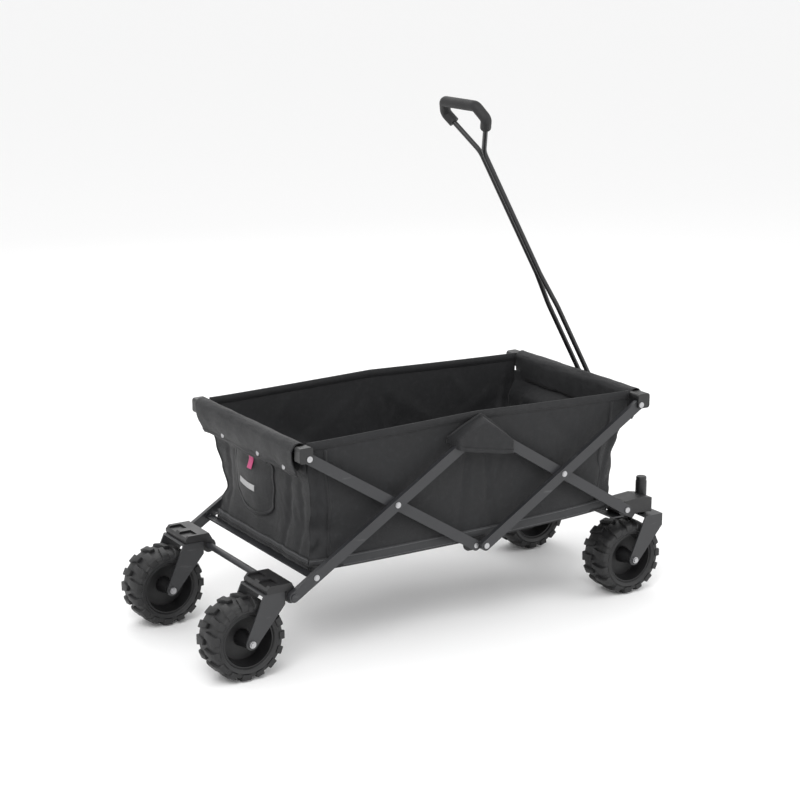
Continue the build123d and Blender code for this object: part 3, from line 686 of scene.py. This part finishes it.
def floor_cloth():
    """Basket floor: hangs a little between its hems, with a strap across at the middle."""
    rear, front = rear_edge(bottom_z) + 0.003, front_edge(bottom_z) - 0.004

    def place(u, v):
        x = rear + u * (front - rear)
        half = wall_y - 0.004 - waist(bottom_z) * math.exp(-min(x - rear, front - x) / end_reach)
        y = (v * 2 - 1) * half
        sag = 0.0035 * math.sin(math.pi * u) * (1 - (v * 2 - 1) ** 2)
        small = 0.0008 * ripple(x, y, 1.0, 20.0, 3)
        return Vector((x, y, hem_height(x) + 0.0062 - sag + small))

    size = (front - rear, 2 * wall_y)
    base = grid("floor_cloth", place, 120, 60, size, fabric)
    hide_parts("basket_floor")
    straps = []
    for label, u in (("rear", 0.26), ("front", 0.74)):
        path = [place(u, i / 50) - Vector((0, 0, 0.0012)) for i in range(51)]
        straps.append(tape(f"floor_strap_{label}", path, lambda i: Vector((0, 0, -1))))
    for piece in (base, *straps):
        carry(piece, "top_hubs")


def floor_mat(node, body):
    """Stiff board in a sewn cloth cover, softly rounded, with a welt round its edge."""
    low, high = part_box(node)
    half_x, half_y = (high.x - low.x) / 2, (high.y - low.y) / 2
    middle, half_z = (low + high) / 2, (high.z - low.z) / 2
    columns, rows = 30, 50
    points, uvs, faces = [], [], []
    for face in (1, -1):
        for j in range(rows + 1):
            for i in range(columns + 1):
                u, v = math.sin((i / columns - 0.5) * math.pi), math.sin((j / rows - 0.5) * math.pi)
                x, y = u * half_x, v * half_y
                inside = min(half_x - abs(x), half_y - abs(y))
                share = min(1.0, inside / 0.006)
                plump = math.sqrt(max(0.0, 1 - (1 - share) ** 2))
                dimple = 0.07 * ripple(x, y, face, 24.0, 11) * share
                points.append(middle + Vector((x, y, face * half_z * plump * (0.93 + dimple))))
                uvs.append((x, y))
    offset = (columns + 1) * (rows + 1)
    for j in range(rows):
        for i in range(columns):
            a = j * (columns + 1) + i
            quad = (a, a + 1, a + columns + 2, a + columns + 1)
            faces.append(quad)
            faces.append(tuple(k + offset for k in reversed(quad)))
    cover = make_object(f"{node}_cover", points, faces, mat_cloth, uvs)
    work = bmesh.new()
    work.from_mesh(cover.data)
    bmesh.ops.remove_doubles(work, verts=work.verts, dist=0.00002)
    work.to_mesh(cover.data)
    work.free()
    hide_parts(node)
    if body == "top_hubs":
        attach(cover, body)
        return
    inset = 0.011
    corners = [(-1, -1), (1, -1), (1, 1), (-1, 1), (-1, -1)]
    path = []
    for (ax, ay), (bx, by) in zip(corners, corners[1:]):
        for k in range(24):
            share = k / 24
            x = (ax + (bx - ax) * share) * (half_x - inset)
            y = (ay + (by - ay) * share) * (half_y - inset)
            path.append(middle + Vector((x, y, half_z * 0.94)))
    path.append(path[0])
    welt = tape(f"{node}_welt", path, lambda i: Vector((0, 0, 1)), width=0.010, thickness=0.0008)
    for piece in (cover, welt):
        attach(piece, body)


# ================= wheels =================
def tread_tyre(name, node, body):
    """Off-road tyre: revolved carcass with ribs, and staggered blocks that wrap over both shoulders."""
    low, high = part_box(node)
    centre = (low + high) / 2
    radius, half = (high.z - low.z) / 2, (high.y - low.y) / 2
    seat = (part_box(node.replace("tyre", "rim"))[1].z - centre.z) + 0.0002
    carcass = [
        (seat, -0.84 * half), (seat + 0.003, -0.93 * half), (radius * 0.75, -0.955 * half),
        (radius * 0.765, -0.99 * half), (radius * 0.79, -0.955 * half), (radius * 0.86, -0.945 * half),
        (radius * 0.90, -0.85 * half), (radius * 0.915, -0.5 * half), (radius * 0.92, 0.0),
        (radius * 0.915, 0.5 * half), (radius * 0.90, 0.85 * half), (radius * 0.86, 0.945 * half),
        (radius * 0.79, 0.955 * half), (radius * 0.765, 0.99 * half), (radius * 0.75, 0.955 * half),
        (seat + 0.003, 0.93 * half), (seat, 0.84 * half),
    ]
    around = 96
    points, faces = [], []
    for k in range(around):
        angle = 2 * math.pi * k / around
        for r, y in carcass:
            points.append(centre + Vector((r * math.cos(angle), y, r * math.sin(angle))))
    count = len(carcass)
    for k in range(around):
        after = (k + 1) % around
        for i in range(count):
            j = (i + 1) % count
            faces.append((k * count + i, after * count + i, after * count + j, k * count + j))
    # one block from the tread's middle over the shoulder: share of the half width, foot and top
    # as shares of the radius, half angle, and turn
    sections = (
        (0.05, 0.90, 1.000, 0.070, -0.055), (0.40, 0.89, 0.998, 0.080, -0.020),
        (0.78, 0.87, 0.985, 0.105, 0.010), (0.96, 0.84, 0.945, 0.115, 0.012),
        (1.00, 0.80, 0.885, 0.105, 0.012), (0.99, 0.795, 0.82, 0.080, 0.012),
    )
    for end in (1, -1):
        for k in range(tread_blocks):
            middle = 2 * math.pi * (k + (0.5 if end > 0 else 0.0)) / tread_blocks
            wide = 1.12 if k % 2 else 0.9
            base = len(points)
            for share, bottom, top, width, shift in sections:
                for r, spread in ((bottom, 1.15), (top, 0.92)):
                    for edge in (-1, 1):
                        angle = middle + shift + edge * width * spread * wide
                        points.append(centre + Vector((
                            radius * r * math.cos(angle), end * share * half, radius * r * math.sin(angle))))
            for s in range(len(sections) - 1):
                a, b = base + 4 * s, base + 4 * (s + 1)
                faces += [(a + 2, a + 3, b + 3, b + 2), (a, a + 2, b + 2, b), (a + 3, a + 1, b + 1, b + 3),
                          (a + 1, a, b, b + 1)]
            last = base + 4 * (len(sections) - 1)
            faces += [(base, base + 1, base + 3, base + 2), (last + 2, last + 3, last + 1, last)]
    tyre = make_object(name, points, faces, tyre_rubber)
    work = bmesh.new()
    work.from_mesh(tyre.data)
    bmesh.ops.recalc_face_normals(work, faces=work.faces)
    work.to_mesh(tyre.data)
    work.free()
    rounding = tyre.modifiers.new("rounding", "BEVEL")
    rounding.width = 0.0011
    rounding.segments = 2
    rounding.angle_limit = math.radians(38)
    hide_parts(node)
    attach(tyre, body)


# ================= scene =================
def studio():
    """Pale floor, even white surroundings and two large soft lamps."""
    points = [(-60, -60, 0), (60, -60, 0), (60, 60, 0), (-60, 60, 0)]
    paint = bpy.data.materials.new("floor_paint")
    ground = make_object("studio_floor", points, [(0, 1, 2, 3)], paint, smooth=False)
    paint.use_nodes = True
    shader = paint.node_tree.nodes["Principled BSDF"]
    shader.inputs["Base Color"].default_value = (0.92, 0.92, 0.92, 1)
    shader.inputs["Roughness"].default_value = 0.8
    ground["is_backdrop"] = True
    world = bpy.data.worlds.new("surround")
    bpy.context.scene.world = world
    world.use_nodes = True
    background = world.node_tree.nodes["Background"]
    background.inputs["Color"].default_value = (1.0, 1.0, 1.0, 1)
    background.inputs["Strength"].default_value = 1.0
    lamps = (
        ("key", (-2.4, -2.6, 3.6), 2.4, 110.0),
        ("fill", (2.8, -2.6, 2.4), 2.4, 40.0),
        ("back", (0.6, 3.2, 3.0), 2.4, 40.0),
    )
    for name, place, size, power in lamps:
        data = bpy.data.lights.new(name, "AREA")
        data.size = size
        data.energy = power
        lamp = bpy.data.objects.new(name, data)
        lamp.location = place
        lamp.rotation_euler = (Vector((0, 0, 0.4)) - Vector(place)).to_track_quat("-Z", "Y").to_euler()
        bpy.context.collection.objects.link(lamp)


def add_camera():
    """Camera a little above the rim, off the rear right corner."""
    data = bpy.data.cameras.new("camera")
    data.lens = 87.1
    data.sensor_width = 36.0
    camera = bpy.data.objects.new("camera", data)
    camera.location = (-2.3547, -3.799, 1.673)
    camera.rotation_euler = (math.radians(75.5), 0.0, math.radians(-31.89))
    bpy.context.collection.objects.link(camera)
    bpy.context.scene.camera = camera


add_camera()
studio()
bpy.context.scene.view_settings.view_transform = "Standard"
dress_cad_nodes()
side_wall("left", 1, WALL_SEEDS[1])
side_wall("right", -1, WALL_SEEDS[-1])
rear_place = end_panel("rear", -1, rear_rail, "rear_top", 1.0)
end_panel("front", 1, front_rail, "front_top", 4.0)
rear_pocket(rear_place)
gusset("left", 1, 3.0)
gusset("right", -1, 8.0)
floor_cloth()
for end_name in ("rear", "front"):
    for place_name in ("outer", "inner"):
        floor_mat(f"board_{end_name}_{place_name}", f"{end_name}_{place_name}_board")
floor_mat("centre_board", "top_hubs")
for end_name in ("rear", "front"):
    for side_name in ("left", "right"):
        wheel = f"{end_name}_{side_name}"
        tread_tyre(f"{wheel}_tread", f"{wheel}_tyre", f"{wheel}_wheel")

boxes = {"cad": cad_box, "visual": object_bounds()}
{key: [list(low), list(high)] for key, (low, high) in boxes.items()}
